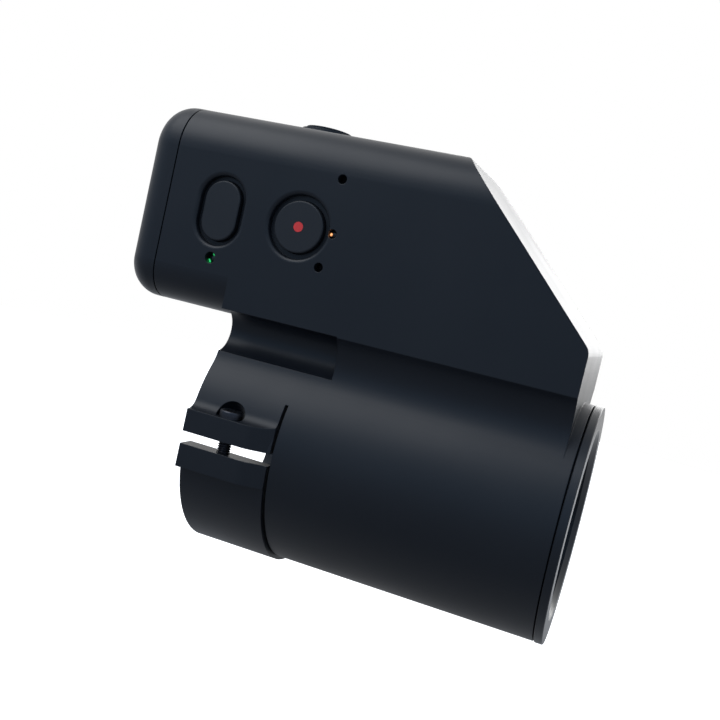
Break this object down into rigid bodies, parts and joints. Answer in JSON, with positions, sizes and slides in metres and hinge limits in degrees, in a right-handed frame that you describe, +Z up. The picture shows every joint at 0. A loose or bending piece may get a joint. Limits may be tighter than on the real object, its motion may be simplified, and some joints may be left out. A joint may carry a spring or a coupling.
{
  "type": "clamp-on eyepiece camera",
  "caption": "Camera that clamps round a scope's eyepiece: a beamsplitter tube with a sensor housing on top, side buttons and an eye ring.",
  "frame": {"origin": "on the axis of the clamp bore, at the open front face of the collar", "axes": "+X along the optical axis towards the user's eye, +Z up through the sensor housing, buttons on the -Y side"},
  "size_m": [0.1087, 0.0539, 0.0999],
  "materials": {
    "body_anodised": "bead-blasted, black anodised, satin",
    "cap_anodised": "bead-blasted, black anodised, satin",
    "ring_anodised": "turned, black anodised, satin",
    "dial_anodised": "knurled, black anodised, satin",
    "inner_anodised": "black anodised, matt against stray light",
    "button_plastic": "fine textured, satin",
    "inner_plastic": "moulded, matt",
    "red_mark": "smooth",
    "clamp_screw_steel": "black oxide",
    "small_screws": "zinc plated",
    "rod_steel": "ground",
    "socket_steel": "stamped, tinned",
    "gear_brass": "cut, bright",
    "black_rubber": "matt",
    "grey_rubber": "matt, soft",
    "circuit_board": "solder mask, satin",
    "chip_plastic": "moulded epoxy",
    "socket_plastic": "moulded",
    "card_plastic": "moulded",
    "switch_case": "moulded",
    "switch_plunger": "moulded",
    "green_light": "clear epoxy",
    "amber_light": "clear epoxy",
    "green_pipe": "clear acrylic",
    "amber_pipe": "clear acrylic",
    "mesh_fabric": "fine black mesh",
    "flex_film": "polyimide film",
    "battery_film": "laminated foil",
    "sensor_glass": "cover glass",
    "filter_glass": "coated",
    "lens_glass": "coated",
    "splitter_glass": "half-silvered",
    "window_glass": "coated",
    "mirror_coating": "first-surface coating"
  },
  "bodies": {
    "camera_body": {"main_body": "body_anodised", "front_bulkhead": "inner_plastic", "bulkhead_screws": "small_screws", "port_board": "circuit_board", "usb_port": "socket_steel", "card_slot": "socket_steel", "power_switch": "switch_case", "record_switch": "switch_case", "green_led": "green_light", "green_light_pipe": "green_pipe", "amber_led": "amber_light", "amber_light_pipe": "amber_pipe", "microphone": "socket_steel", "microphone_mesh": "mesh_fabric", "vent_membrane": "mesh_fabric", "main_board": "circuit_board", "board_screws": "small_screws", "processor_chip": "chip_plastic", "heat_pad": "grey_rubber", "sensor_socket": "socket_plastic", "battery_socket": "socket_plastic", "sensor_flex": "flex_film", "battery_flex": "flex_film", "battery_pack": "battery_film", "sensor_board": "circuit_board", "image_sensor": "sensor_glass", "sensor_screws": "small_screws", "ir_filter": "filter_glass", "optics_frame": "inner_anodised", "frame_screws": "small_screws", "lower_guide_rod": "rod_steel", "upper_guide_rod": "rod_steel", "dial_o_ring": "black_rubber", "fold_mirror": "mirror_coating", "mirror_holder": "inner_anodised", "mirror_screws": "small_screws", "beamsplitter_plate": "splitter_glass", "beamsplitter_frame": "inner_anodised", "front_window": "window_glass", "front_window_ring": "inner_anodised", "rear_window": "window_glass", "eyepiece_ring": "ring_anodised"},
    "front_cap": {"front_cap": "cap_anodised", "cap_gasket": "black_rubber"},
    "memory_card": {"memory_card": "card_plastic"},
    "power_button": {"power_button": "button_plastic", "power_plunger": "switch_plunger"},
    "record_button": {"record_button": "button_plastic", "record_dot": "red_mark", "record_plunger": "switch_plunger"},
    "focus_dial": {"focus_dial": "dial_anodised", "focus_shaft": "rod_steel", "focus_pinion": "gear_brass"},
    "lens_carriage": {"lens_carriage": "inner_plastic", "lens_barrel": "inner_anodised", "lens_front_element": "lens_glass", "lens_rear_element": "lens_glass"},
    "clamp_washer": {"clamp_washer": "clamp_screw_steel"},
    "clamp_screw": {"clamp_screw": "clamp_screw_steel"}
  },
  "joints": [
    {"name": "front_cap_pull", "type": "slide", "parent": "camera_body", "child": "front_cap", "axis": [-1, 0, 0], "range_m": [0, 0.03]},
    {"name": "memory_card_slide", "type": "slide", "parent": "camera_body", "child": "memory_card", "axis": [-1, 0, 0], "range_m": [0, 0.004]},
    {"name": "power_button_press", "type": "slide", "parent": "camera_body", "child": "power_button", "axis": [0, 1, 0], "range_m": [0, 0.0006], "stiffness_N_per_m": 2500},
    {"name": "record_button_press", "type": "slide", "parent": "camera_body", "child": "record_button", "axis": [0, 1, 0], "range_m": [0, 0.0006], "stiffness_N_per_m": 2500},
    {"name": "focus_dial_turn", "type": "hinge", "parent": "camera_body", "child": "focus_dial", "pos_m": [0.0066, 0, 0.0708], "axis": [0, 0, 1], "range_deg": [-45.5, 45.5]},
    {"name": "lens_focus_slide", "type": "slide", "parent": "camera_body", "child": "lens_carriage", "axis": [1, 0, 0], "range_m": [-0.00157, 0.00157]},
    {"name": "clamp_washer_rise", "type": "slide", "parent": "camera_body", "child": "clamp_washer", "axis": [0, 0, 1], "range_m": [0, 0.0005]},
    {"name": "clamp_screw_turn", "type": "hinge", "parent": "clamp_washer", "child": "clamp_screw", "pos_m": [0.0091, -0.0251, 0.0061], "axis": [0, 0, 1], "range_deg": [-1, 362]}
  ],
  "couplings": [
    {"joint": "focus_dial_turn", "follows": "lens_focus_slide", "rad_per_m": -500},
    {"joint": "clamp_screw_turn", "follows": "clamp_washer_rise", "rad_per_m": 12566}
  ]
}
